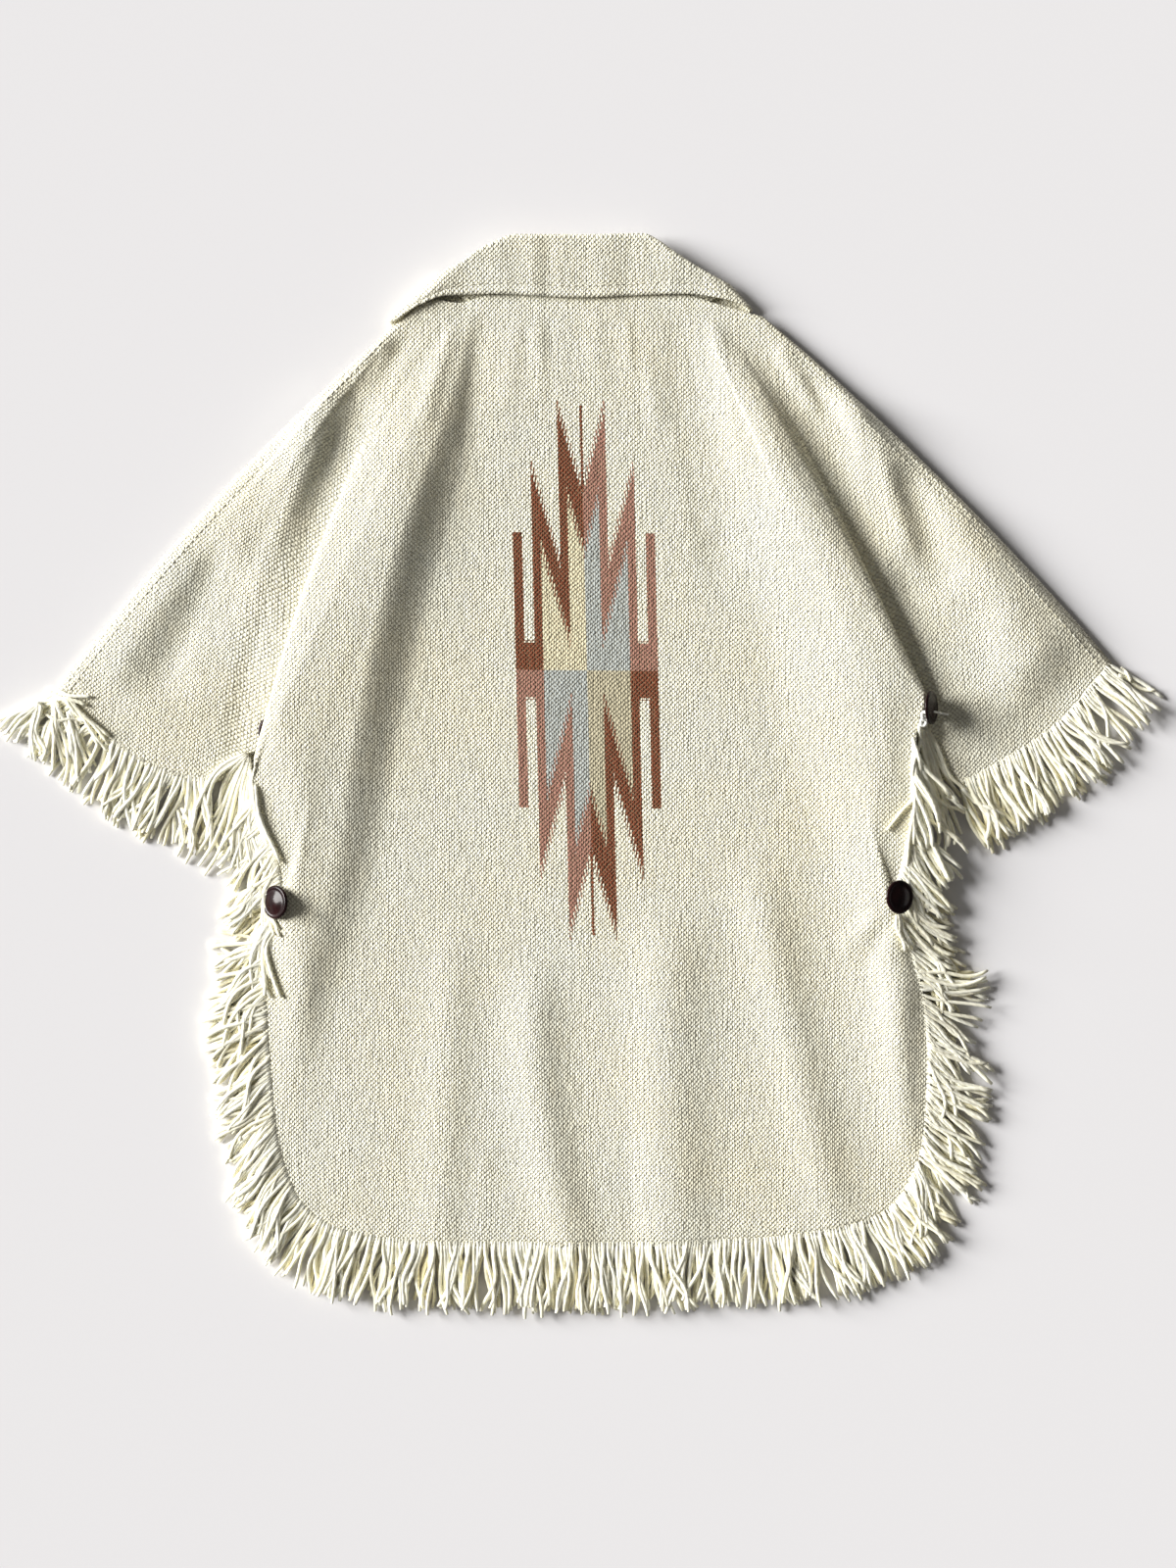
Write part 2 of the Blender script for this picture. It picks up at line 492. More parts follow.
# ---- shader maths ----
class Finish:
    """The node tree of one finish, and the one place where its nodes are made."""

    def __init__(self, name):
        self.material = bpy.data.materials.new(name)
        self.material.use_nodes = True
        self.tree = self.material.node_tree
        self.tree.nodes.clear()

    def node(self, kind, settings=None, sockets=None):
        made = self.tree.nodes.new(kind)
        for key, value in (settings or {}).items():
            setattr(made, key, value)
        for key, value in (sockets or {}).items():
            value = value.socket if isinstance(value, Number) else value
            if isinstance(value, bpy.types.NodeSocket):
                self.tree.links.new(value, made.inputs[key])
            else:
                made.inputs[key].default_value = value
        return made

    def number(self, socket):
        return Number(self, socket)

    def math(self, operation, *values):
        made = self.node("ShaderNodeMath", {"operation": operation}, dict(enumerate(values)))
        return Number(self, made.outputs[0])

    def noise(self, place, scale, detail=2.0, roughness=0.5, stretch=None):
        """Smooth random numbers about 0, from -0.5 to 0.5."""
        if stretch:
            place = self.node("ShaderNodeMapping", None, {"Vector": place, "Scale": stretch}).outputs[0]
        sockets = {"Vector": place, "Scale": scale, "Detail": detail, "Roughness": roughness}
        return Number(self, self.node("ShaderNodeTexNoise", None, sockets).outputs[0]) - 0.5

    def blend(self, share, first, second):
        """A colour between first and second."""
        sockets = {"Factor": share, 6: first, 7: second}
        return self.node("ShaderNodeMix", {"data_type": "RGBA"}, sockets).outputs[2]

    def scaled(self, color, amount):
        """A colour made lighter or darker by a number."""
        sockets = {0: color, "Scale": amount}
        return self.node("ShaderNodeVectorMath", {"operation": "SCALE"}, sockets).outputs[0]

    def finish(self, color, roughness, bump=None, strength=0.5, distance=0.0005, **constants):
        """The finished material; a bump's distance is in metres."""
        sockets = {"Base Color": color, "Roughness": roughness}
        sockets.update((key.replace("_", " "), value) for key, value in constants.items())
        if bump is not None:
            raised = {"Height": bump, "Strength": strength, "Distance": distance}
            sockets["Normal"] = self.node("ShaderNodeBump", None, raised).outputs[0]
        shader = self.node("ShaderNodeBsdfPrincipled", None, sockets)
        self.node("ShaderNodeOutputMaterial", None, {"Surface": shader.outputs[0]})
        return self.material


class Number:
    """A number in a finish, worked out from its sockets with Python's own operators."""

    def __init__(self, finish, socket):
        self.finish, self.socket = finish, socket

    def __add__(self, other):
        return self.finish.math("ADD", self, other)

    __radd__ = __add__

    def __sub__(self, other):
        return self.finish.math("SUBTRACT", self, other)

    def __rsub__(self, other):
        return self.finish.math("SUBTRACT", other, self)

    def __mul__(self, other):
        return self.finish.math("MULTIPLY", self, other)

    __rmul__ = __mul__

    def __truediv__(self, other):
        return self.finish.math("DIVIDE", self, other)

    def __gt__(self, other):
        return self.finish.math("GREATER_THAN", self, other)

    def __lt__(self, other):
        return self.finish.math("LESS_THAN", self, other)

    def __abs__(self):
        return self.finish.math("ABSOLUTE", self)

    def __floor__(self):
        return self.finish.math("FLOOR", self)

    def fraction(self):
        return self.finish.math("FRACT", self)

    def cos(self):
        return self.finish.math("COSINE", self)

    def least(self, other):
        return self.finish.math("MINIMUM", self, other)

    def most(self, other):
        return self.finish.math("MAXIMUM", self, other)

    def within(self, low, high):
        return (self > low) * (self < high)


def linear(red, green, blue):
    """A colour given as it looks on a screen, from 0 to 255, as the light that it reflects."""
    parts = [c / 255 for c in (red, green, blue)]
    return (*[c / 12.92 if c <= 0.04045 else ((c + 0.055) / 1.055) ** 2.4 for c in parts], 1.0)


# ---- the tapestry pattern ----
MOTIF_MIDDLE = (-0.7, 79.6)
MOTIF_LEAN = 0.0245  # how far its upright lines lean to the left
MOTIF_TILT = 0.009  # how far its level lines fall to the left
WOBBLE, WOBBLE_STEP = 0.28, 2.7  # how far its upright lines step in and out, and how often
# Widths out from its middle line.
CORE, FIRST_OUT, SECOND_OUT, BLOCK_IN, LEG_IN, BAR_IN, BAR_OUT = 11.5, 17.6, 37.9, 32.2, 31.7, 45.2, 52.1
# Levels that the slanting edges keep to, then heights above its middle.
FIRST_TOP, FIRST_FOOT, SECOND_TOP, SECOND_FOOT = 132.8, 86.8, 17.1, -21
BAR_HIGH, BLOCK_HIGH, LINE_HALF, LINE_FOOT, LINE_TOP = 101.2, 20.9, 1.0, 130, 194
TOOTH = 2.1  # width of one pair of teeth on a slanting edge
TOOTH_DRIFT = 0.12  # how far the pairs drift inwards as they rise
TOOTH_RISE = 3.55  # how steep the slanting edges are
TOOTH_LENGTH = 3.5
DARK_BROWN, ROSE_BROWN = linear(116, 62, 40), linear(159, 115, 101)
YELLOW, GREY_BLUE, TAN = linear(221, 211, 179), linear(175, 180, 177), linear(188, 180, 154)


def serrated_motif(finish, x, y, ground):
    """The pattern of four quarters, each mirrored from the next with its colours changed about."""
    right = x - MOTIF_MIDDLE[0] + (y - MOTIF_MIDDLE[1]) * MOTIF_LEAN
    up = y - MOTIF_MIDDLE[1] + (x - MOTIF_MIDDLE[0]) * MOTIF_TILT
    out, rise = abs(right), abs(up)
    wobble = (rise * (math.tau / WOBBLE_STEP)).cos() * WOBBLE
    edge = out + wobble
    column = (out + rise * TOOTH_DRIFT) / TOOTH
    finger = (column.fraction() < 0.5) * (2 * TOOTH_LENGTH) - TOOTH_LENGTH
    slant = (math.floor(column) + 0.5) * (TOOTH * TOOTH_RISE)
    level = rise - slant + rise * (TOOTH_DRIFT * TOOTH_RISE) - finger
    over_foot = level > SECOND_FOOT
    first_part = (level > FIRST_FOOT).most((edge > CORE) * over_foot)
    first_tier = (edge < FIRST_OUT) * (level < FIRST_TOP) * first_part
    second_tier = edge.within(CORE, SECOND_OUT) * (level < SECOND_TOP) * over_foot.most(edge > LEG_IN)
    outer_bar = edge.within(BAR_IN, BAR_OUT) * (rise < BAR_HIGH + wobble * 3)
    block = edge.within(BLOCK_IN, BAR_OUT) * (rise < BLOCK_HIGH + wobble * 3)
    line = (edge < LINE_HALF) * rise.within(LINE_FOOT, LINE_TOP)
    figure = first_tier.most(second_tier).most(outer_bar).most(block)
    inner_level = (edge < CORE) * FIRST_FOOT + (edge > CORE) * SECOND_FOOT
    filled = (edge < BLOCK_IN) * (level < inner_level)
    dark_quarter = abs((right > 0) - (up > 0))
    figure_color = finish.blend(dark_quarter, ROSE_BROWN, DARK_BROWN)
    ground_color = finish.blend(dark_quarter, GREY_BLUE, finish.blend(right > 0, YELLOW, TAN))
    color = finish.blend(filled, ground, ground_color)
    color = finish.blend(figure, color, figure_color)
    return finish.blend(line, color, DARK_BROWN)


WEAVE_ACROSS, WEAVE_ALONG = 1.7, 3.3  # width and height of one pebble of weft
PEBBLE_SIDE, PEBBLE_UP, PEBBLE_MEAN = 6.6, 4, 0.55  # its fall to its sides and ends, its mean height
WEAVE_STRENGTH, WEAVE_DEPTH = 0.9, 0.0011
# Uneven wool: scale, detail and roughness of its noise, and how that is drawn out across and along.
COARSE = 330, 3, 0.65, (1.25, 0.8, 1)
THREAD = 560, 1, 0.5, (1, 0.09, 1)
SLUB = 130, 3, 0.6, (1.6, 0.5, 1)
# What pebbles, coarse wool, upright threads and slubs add to the relief, the gaps and the shade.
RELIEF, GAPS, SHADE = (1, 1.3, 0.8, 0.6), (-1.5, -1.2, -0.8, 0), (0.34, 0.62, 0.34, 0.2)
GAP_MEAN, GAP_SHARE, SHADE_MEAN = 0.04, 0.45, 1.01
PATCH_WARMTH, SLUB_WARMTH = 1.4, 0.7
WOOL_GLEAM = {"Specular_IOR_Level": 0.12, "Sheen_Weight": 0.1, "Sheen_Roughness": 0.6}
WOOL_PALE, WOOL_WARM, WOOL_DEEP = linear(237, 238, 225), linear(244, 236, 208), linear(204, 190, 148)


def woven_wool(name, with_motif=False):
    """Thick wool yarn, beaten so close that upright pebbles of it stand in brick order."""
    finish = Finish(name)
    flat = finish.node("ShaderNodeUVMap", {"uv_map": "cloth"}).outputs[0]
    parts = finish.node("ShaderNodeSeparateXYZ", None, {"Vector": flat})
    x, y = (finish.number(parts.outputs[i]) * 1000 for i in (0, 1))
    across = x + finish.noise(flat, 70, 2) * 2.6 + finish.noise(flat, 420, 1) * 0.9
    along = y + finish.noise(flat, 85, 2, stretch=(1, 1.3, 1)) * 3.4
    bumps = []
    for shift in (0, 0.5):
        side = (across / (2 * WEAVE_ACROSS) + shift).fraction() - 0.5
        up = (along / WEAVE_ALONG + shift).fraction() - 0.5
        bumps.append(1 - side * side * PEBBLE_SIDE - up * up * PEBBLE_UP)
    pebble = bumps[0].most(bumps[1]) - PEBBLE_MEAN
    coarse, thread, slub = (finish.noise(flat, *kind) for kind in (COARSE, THREAD, SLUB))
    height, gap, shade = (pebble * a + coarse * b + thread * c + slub * d
                          for a, b, c, d in (RELIEF, GAPS, SHADE))
    patch = finish.noise(flat, 9, 2)
    warm = (patch * PATCH_WARMTH + slub * SLUB_WARMTH + 0.5).least(1).most(0)
    color = finish.blend(warm, WOOL_PALE, WOOL_WARM)
    if with_motif:
        color = serrated_motif(finish, x, y, color)
    color = finish.blend((gap + GAP_MEAN).least(1).most(0) * GAP_SHARE, color, WOOL_DEEP)
    color = finish.scaled(color, shade + SHADE_MEAN)
    return finish.finish(color, 0.92, height, WEAVE_STRENGTH, WEAVE_DEPTH, **WOOL_GLEAM)


YARN_DEEP, YARN_PALE = linear(250, 240, 204), linear(254, 252, 234)
YARN_TURNS = 9  # turns of the two plies along one yarn
YARN_GLOW = {"Subsurface_Weight": 0.3, "Subsurface_Radius": (1.0, 0.95, 0.9), "Subsurface_Scale": 0.002}


def spun_wool():
    """Fringe yarn: two plies twisted together, deeper in tone at some yarns than at others."""
    finish = Finish("wool_fringe")
    place = finish.node("ShaderNodeUVMap", {"uv_map": "yarn"}).outputs[0]
    parts = finish.node("ShaderNodeSeparateXYZ", None, {"Vector": place})
    around, along = (finish.number(parts.outputs[i]) for i in (0, 1))
    twist = ((around * 2 + along * YARN_TURNS) * math.tau).cos()
    spot = finish.node("ShaderNodeTexCoord").outputs["Object"]
    fibre = finish.noise(spot, 800, 2, 0.6)
    tone = finish.number(finish.node("ShaderNodeAttribute", {"attribute_name": "tone"}).outputs["Fac"])
    color = finish.scaled(finish.blend(tone, YARN_DEEP, YARN_PALE), 1.03 + twist * 0.02 + fibre * 0.12)
    height = twist * 0.25 + fibre * 0.8
    return finish.finish(color, 0.9, height, 0.4, 0.0005, **WOOL_GLEAM, **YARN_GLOW)


HORN_BLACK, HORN_BROWN = linear(11, 9, 10), linear(42, 17, 19)


def dark_horn():
    """Polished horn, nearly black, with brown streaks and clouds."""
    finish = Finish("dark_button")
    spot = finish.node("ShaderNodeTexCoord").outputs["Object"]
    streak = finish.noise(spot, 240, 3, 0.6, stretch=(1, 0.35, 1))
    cloud = finish.noise(spot, 90, 2)
    brown = (streak * 1.4 + cloud + 0.5).least(1).most(0)
    color = finish.blend(brown, HORN_BLACK, HORN_BROWN)
    return finish.finish(color, 0.24 + cloud * 0.1, streak * 0.4, 0.1, 0.0003,
                         Specular_IOR_Level=0.12, Coat_Weight=0.12, Coat_Roughness=0.05)


THREAD_GREY, THREAD_WHITE = linear(206, 200, 176), linear(246, 246, 240)


def sewing_thread():
    """Twisted thread, from the grey of the seams to the white of the knot."""
    finish = Finish("sewing_thread")
    place = finish.node("ShaderNodeUVMap", {"uv_map": "yarn"}).outputs[0]
    parts = finish.node("ShaderNodeSeparateXYZ", None, {"Vector": place})
    around, along = (finish.number(parts.outputs[i]) for i in (0, 1))
    twist = ((around + along * 4) * math.tau).cos()
    tone = finish.number(finish.node("ShaderNodeAttribute", {"attribute_name": "tone"}).outputs["Fac"])
    color = finish.scaled(finish.blend(tone, THREAD_GREY, THREAD_WHITE), 0.95 + twist * 0.06)
    return finish.finish(color, 0.6, twist, 0.4, 0.0002, Sheen_Weight=0.1)


# ---- cloth ----
def placed(name, data):
    made = bpy.data.objects.new(name, data)
    bpy.context.scene.collection.objects.link(made)
    return made


def mesh_of(name, bm):
    mesh = bpy.data.meshes.new(name)
    bm.to_mesh(mesh)
    bm.free()
    return mesh


def piece_of(name, mesh, material, node=None):
    made = placed(name, mesh)
    mesh.materials.append(material)
    mesh.polygons.foreach_set("use_smooth", np.ones(len(mesh.polygons), bool))
    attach(made, "root")
    if node:
        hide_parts(node)
    return made


def moved(mesh, points):
    """Puts the mesh's vertices at points, given in mm on the table."""
    mesh.vertices.foreach_set("co", ((points + SHIFT) * MM).astype(np.float32).ravel())
    mesh.update()


def cloth(name, along, across, point_at, flat_at, thickness, material, node, turned=False):
    """A sheet of cloth: a grid whose corners are moved to point_at(a, b), a and b from 0 to 1."""
    bm = bmesh.new()
    bmesh.ops.create_grid(bm, x_segments=along, y_segments=across, size=1.0)
    if turned:
        bmesh.ops.reverse_faces(bm, faces=bm.faces)
    mesh = mesh_of(name, bm)
    corners = np.zeros(len(mesh.vertices) * 3, np.float32)
    mesh.vertices.foreach_get("co", corners)
    a, b = ((corners.reshape(-1, 3)[:, i].astype(float) + 1) / 2 for i in (0, 1))
    points = point_at(a, b)
    moved(mesh, points)
    plan = flat_at(a, b, points) * MM
    loops = np.zeros(len(mesh.loops), np.int32)
    mesh.loops.foreach_get("vertex_index", loops)
    layer = mesh.uv_layers.new(name="cloth")
    layer.data.foreach_set("uv", plan[loops].astype(np.float32).ravel())
    made = piece_of(name, mesh, material, node)
    wall = made.modifiers.new("cloth thickness", "SOLIDIFY")
    wall.thickness, wall.offset, wall.use_even_offset = thickness * MM, 0, False
    return made


SLEEVE_GRAIN = math.radians(6)  # how far the grain of a sleeve is turned
GRAIN_SHARES = {"left cuff corner": 1, "left under fold": 0.85, "left fold low": 0, "right fold low": 0,
                "right under fold": -0.85, "right cuff corner": -1}
GRAIN_FROM, GRAIN_OVER = 0.1, 0.5


def back_flat(a, b, points):
    """The place on the flat cloth: its grain turns at the sleeves, out of sight in the tuck."""
    u = back_rows(a)
    share = np.interp(u, [BACK.index(name) for name in GRAIN_SHARES], list(GRAIN_SHARES.values()))
    angle = SLEEVE_GRAIN * share * smooth((b - GRAIN_FROM) / GRAIN_OVER)
    pivot = stack(np.sign(BACK.value(u, "neck")) * NECK_HALF, 0 * a + NECK_BACK_Y - NECK_DIP)
    off = points[:, :2] - pivot
    return stack(off[:, 0] * np.cos(angle) - off[:, 1] * np.sin(angle),
                 off[:, 0] * np.sin(angle) + off[:, 1] * np.cos(angle)) + pivot


def plain_flat(a, b, points):
    return points[:, :2]


cream_wool = woven_wool("wool_cloth")
figured_wool = woven_wool("wool_cloth_figured", with_motif=True)
fringe_wool = spun_wool()
thread = sewing_thread()
horn = dark_horn()

BACK_GRID = ((440, 108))
FRONT_GRID, COLLAR_GRID = (180, 50), (260, 48)

back = cloth("back_cloth", *BACK_GRID, lambda a, b: back_point(back_rows(a), b), back_flat, CLOTH,
             figured_wool, "back_panel", turned=True)
for side, sign in (("left", -1), ("right", 1)):
    curve = front_curve(side)
    cloth(
        f"front_{side}_cloth", *FRONT_GRID,
        lambda a, b, curve=curve, sign=sign: front_point(curve, sign, curve.along(a), b),
        plain_flat, CLOTH, cream_wool, f"front_{side}", turned=side == "left")
collar = cloth("collar_cloth", *COLLAR_GRID, lambda a, b: collar_point(COLLAR.along(a), b * 3),
               plain_flat, COLLAR_CLOTH, cream_wool, "collar")


# ---- yarns and threads ----
def strand_form(sides, spans):
    """One straight strand, closed at both ends, with its length along z from 0 to 1."""
    bm = bmesh.new()
    bmesh.ops.create_cone(bm, cap_ends=True, segments=sides, radius1=1, radius2=1, depth=1,
                          matrix=Matrix.Translation((0, 0, 0.5)))
    upright = [e for e in bm.edges if abs(e.verts[0].co.z - e.verts[1].co.z) > 0.5]
    bmesh.ops.subdivide_edges(bm, edges=upright, cuts=spans - 1, use_grid_fill=True)
    layer = bm.loops.layers.uv.new("yarn")
    for face in bm.faces:
        turns = [math.atan2(loop.vert.co.y, loop.vert.co.x) / math.tau % 1 for loop in face.loops]
        wraps = max(turns) - min(turns) > 0.5
        for loop, turn in zip(face.loops, turns):
            loop[layer].uv = (turn + (1 if wraps and turn < 0.5 else 0), loop.vert.co.z)
    return mesh_of("strand form", bm)


ALMOST_UP = np.array([0.02, 0.01, 1.0])  # no strand runs exactly this way


def strands(name, lines, radii, tones, material, node=None, sides=6):
    """A bundle of strands along lines, an array of (strand, ring, xyz) in mm on the table."""
    count, rings = lines.shape[:2]
    holder = placed("strand holder", strand_form(sides, rings - 1))
    copies = holder.modifiers.new("copies", "ARRAY")
    copies.count, copies.use_relative_offset, copies.use_constant_offset = count, False, True
    copies.constant_offset_displace = (0, 0, 0)
    evaluated = holder.evaluated_get(bpy.context.evaluated_depsgraph_get())
    mesh = bpy.data.meshes.new_from_object(evaluated)
    bpy.data.objects.remove(holder)
    mesh.name = name
    local = np.zeros(len(mesh.vertices) * 3, np.float32)
    mesh.vertices.foreach_get("co", local)
    local = local.reshape(count, -1, 3).astype(float)
    ring = np.rint(local[..., 2] * (rings - 1)).astype(int)
    which = np.arange(count)[:, None]
    ahead = np.empty_like(lines)
    ahead[:, 1:-1] = lines[:, 2:] - lines[:, :-2]
    ahead[:, 0], ahead[:, -1] = lines[:, 1] - lines[:, 0], lines[:, -1] - lines[:, -2]
    ahead = unit(ahead)
    aside = unit(np.cross(ahead, ALMOST_UP))
    above = np.cross(aside, ahead)
    radius = radii[which, ring][..., None]
    out = aside[which, ring] * local[..., :1] + above[which, ring] * local[..., 1:2]
    moved(mesh, (lines[which, ring] + radius * out).reshape(-1, 3))
    attribute = mesh.attributes.new("tone", "FLOAT", "POINT")
    attribute.data.foreach_set("value", np.repeat(tones, local.shape[1]).astype(np.float32))
    return piece_of(name, mesh, material, node)


RINGS = 12  # places along a yarn at which its line is worked out
LAY = np.linspace(0, 1, RINGS)


class Pile:
    """How high what is already laid stands above the table, in cells one millimetre wide."""

    LOW, WIDE, LONG = np.array([-470, -440]), 940, 880  # the corner of its cells, and how many there are
    SQUASH = 0.72  # how much of the height below a yarn it stands on: wool gives way
    STEEP = 0.55  # how fast a slack yarn falls from its root, in mm each mm
    CLEAR = 0.1  # between a yarn and what it lies on
    DENSE = 60  # places along a yarn that are marked in the pile
    # The cells that a yarn marks, beside the one it is in, and the share of its radius it has there.
    ROUND = ((0, 0, 0.95), (1, 0, 0.7), (-1, 0, 0.7), (0, 1, 0.7), (0, -1, 0.7))

    def __init__(self):
        self.top = np.zeros((self.WIDE, self.LONG))

    def cell(self, points):
        at = np.rint(points[..., :2] - self.LOW).astype(int)
        return np.clip(at[..., 0], 1, self.WIDE - 2), np.clip(at[..., 1], 1, self.LONG - 2)

    def lower(self, line, radius, cover, rooted=2, steep=STEEP):
        """Lets one yarn down on to the pile and the cloth that covers it, and adds it to the pile.

        The first rooted places of its line keep their heights.
        """
        rest = self.top[self.cell(line)] * self.SQUASH
        if cover:
            rest = np.maximum(rest, cover(line))
        rest = rest + radius + self.CLEAR
        z = np.maximum(line[:, 2], radius + self.CLEAR) if rooted else rest
        step = np.hypot(*np.diff(line[:, :2], axis=0).T)
        for k in range(max(rooted, 1), RINGS):
            z[k] = max(rest[k], z[k - 1] - steep * step[k - 1])
        for _ in range(2):
            z[1:-1] = (z[:-2] + 2 * z[1:-1] + z[2:]) / 4
        line[:, 2] = np.maximum(z, radius + self.CLEAR)
        fine = np.linspace(0, RINGS - 1, self.DENSE)
        dense = np.stack([np.interp(fine, np.arange(RINGS), line[:, k]) for k in range(3)], axis=-1)
        i, j = self.cell(dense)
        for di, dj, share in self.ROUND:
            np.maximum.at(self.top, (i + di, j + dj), dense[:, 2] + radius * share)


# Which way the fringe lies at places along the edge of the back: at its root and at its tip, in
# degrees from +X, and how far single yarns stray from that.
FRINGE_LAY = {
    "left shoulder seam": (-150, -146, 12), "left seam roll": (-140, -135, 22),
    "left cuff": (-118, -112, 18), "left cuff low": (-108, -112, 14), "left cuff corner": (-96, -100, 12),
    "left underarm": (-120, -96, 16), "left side": (-128, -106, 13),
    "left button notch": (-150, -128, 14), "left side low": (-160, -138, 22),
    "left skirt": (-138, -122, 18), "left hem corner": (-134, -122, 16),
    "left hem": (-112, -108, 14), "left hem inner": (-92, -93, 11), "centre hem": (-90, -90, 11),
    "right hem inner": (-88, -86, 11), "right hem": (-76, -74, 13), "right hem corner": (-52, -46, 14),
    "right skirt": (-46, -50, 14), "right side low": (-40, -44, 16), "right side": (-22, -32, 18),
    "right button notch": (-36, -50, 18), "right flank": (-62, -64, 14), "right underarm": (-72, -66, 12),
    "right cuff corner": (-76, -74, 12), "right cuff low": (-70, -66, 12), "right cuff": (-54, -52, 14),
    "right seam roll": (-40, -34, 12), "right shoulder seam": (-32, -28, 10),
}
lay_rows = [BACK.index(name) for name in FRINGE_LAY]


def lay_at(u, i):
    return np.interp(u, lay_rows, [lay[i] for lay in FRINGE_LAY.values()])


CLUMP_LEAST, CLUMP_MOST = 4, 9  # yarns that lie together
ROOT_IN = 3.5  # how far inside the cloth's edge a yarn begins


def fringe_lines(roots, away, lay, random, length=YARN_LENGTH):
    """Centrelines of yarns from roots, in clumps whose tips draw together."""
    count = len(roots)
    start, end, stray = lay
    sizes = random.integers(CLUMP_LEAST, CLUMP_MOST, count)
    group = np.repeat(np.arange(count), sizes)[:count]
    # A clump strays as one, and its yarns a little more each on its own.
    pull = random.normal(0, 1, count)[group]
    own = random.normal(0, 1, count)
    starts = start + stray * (0.35 * pull + 0.25 * own)
    ends = end + stray * (1.0 * pull + 0.4 * random.normal(0, 1, count))
    middle = [np.mean(np.nonzero(group == g)[0]) if (group == g).any() else 0 for g in range(count)]
    ends = ends + (np.arange(count) - np.array(middle)[group]) * random.uniform(1.0, 6.0, count)[group]
    long = length * (0.95 + 0.05 * pull.clip(-1.5, 1.5) + 0.07 * random.uniform(-1, 1, count))
    turns = random.uniform(0.5, 1.2, (count, 1))
    phase = random.uniform(0, 1, (count, 1))
    wave = random.uniform(6, 20, (count, 1)) * np.sin(math.tau * (LAY * turns + phase))
    angle = np.radians(mix(starts[:, None], ends[:, None], smooth(LAY * 1.15)) + wave * smooth(LAY * 3))
    step = (long + ROOT_IN)[:, None] / (RINGS - 1)
    first = roots - unit(away) * ROOT_IN
    lines = np.repeat(first[:, None], RINGS, axis=1)
    lines[:, 1:, 0] += np.cumsum(np.cos(angle[:, 1:]) * step, axis=1)
    lines[:, 1:, 1] += np.cumsum(np.sin(angle[:, 1:]) * step, axis=1)
    return lines


BUNDLE_HALF = 1.5  # half the width of a bundle at its root
PAST_END = 9  # how much further than its path a long yarn of it runs


def bundle_lines(path, count, spread, random):
    """Centrelines of loose yarns that follow a path in plan and part from each other on their way."""
    path = np.array(path, float)
    at = np.concatenate([[0], np.cumsum(np.hypot(*np.diff(path, axis=0).T))])
    share = np.linspace(0, at[-1], RINGS)
    middle = np.stack([np.interp(share, at, path[:, k]) for k in (0, 1)], axis=-1)
    for _ in range(3):
        middle[1:-1] = (middle[:-2] + 2 * middle[1:-1] + middle[2:]) / 4
    ahead = unit(np.gradient(middle, axis=0))
    aside = np.stack([-ahead[:, 1], ahead[:, 0]], axis=-1)
    place = np.linspace(-1, 1, count)[:, None] if count > 1 else np.zeros((1, 1))
    place = place + random.normal(0, 0.15, (count, 1))
    turns, phase = random.uniform(0.5, 1.1, (count, 1)), random.uniform(0, 1, (count, 1))
    wave = np.sin(math.tau * (LAY * turns + phase))
    off = place * (BUNDLE_HALF + spread * LAY) + wave * random.uniform(0.8, 2.6, (count, 1)) * smooth(LAY * 2)
    reach = random.uniform(0.86, 1.05, (count, 1))
    past_end = np.maximum(reach - 1, 0) * PAST_END * smooth((LAY - 0.8) / 0.2)
    lines = np.zeros((count, RINGS, 3))
    for k in (0, 1):
        run = np.array([np.interp(share * r, share, middle[:, k]) for r in reach[:, 0]])
        lines[..., k] = run + (middle[-1, k] - middle[-2, k]) * past_end + off * aside[:, k]
    return lines


YARN_PROFILE = ((0, 0.2, 0.85, 0.96, 1), (0.92, 1.0, 0.97, 0.9, 0.7))  # places along, share of radius


def yarn_radii(count, random):
    profile = np.interp(LAY, *YARN_PROFILE)
    own = YARN_RADIUS * profile * random.uniform(0.9, 1.16, (count, 1))
    return own * random.uniform(0.96, 1.04, (count, RINGS))


ROW_STEP = 0.02  # share of a row, for the way along an edge


def edge_of(point_at, us):
    """Points of an edge, and the way out of the cloth at each."""
    points = point_at(us)
    ahead = point_at(us + ROW_STEP) - point_at(us - ROW_STEP)
    away = stack(ahead[:, 1], -ahead[:, 0], 0 * us)
    return points, unit(away)


def back_edge_at(us):
    return back_point(np.clip(us, 0, len(BACK.at) - 1), np.ones_like(us))


RAY_FROM = 0.2  # in metres, well above the jacket


def surface_top(made, above):
    """Gives a function for how high the surface of a piece of cloth is at points, 0 beside it."""
    tree = BVHTree.FromObject(made, bpy.context.evaluated_depsgraph_get())

    def height(points):
        out = np.zeros(len(points))
        for k, (x, y) in enumerate((points[:, :2] + SHIFT[:2]) * MM):
            hit = tree.ray_cast(Vector((x, y, RAY_FROM)), Vector((0, 0, -1)))[0]
            out[k] = hit.z / MM + above if hit else 0
        return out

    return height


on_back = surface_top(back, 0.2)
pile = Pile()

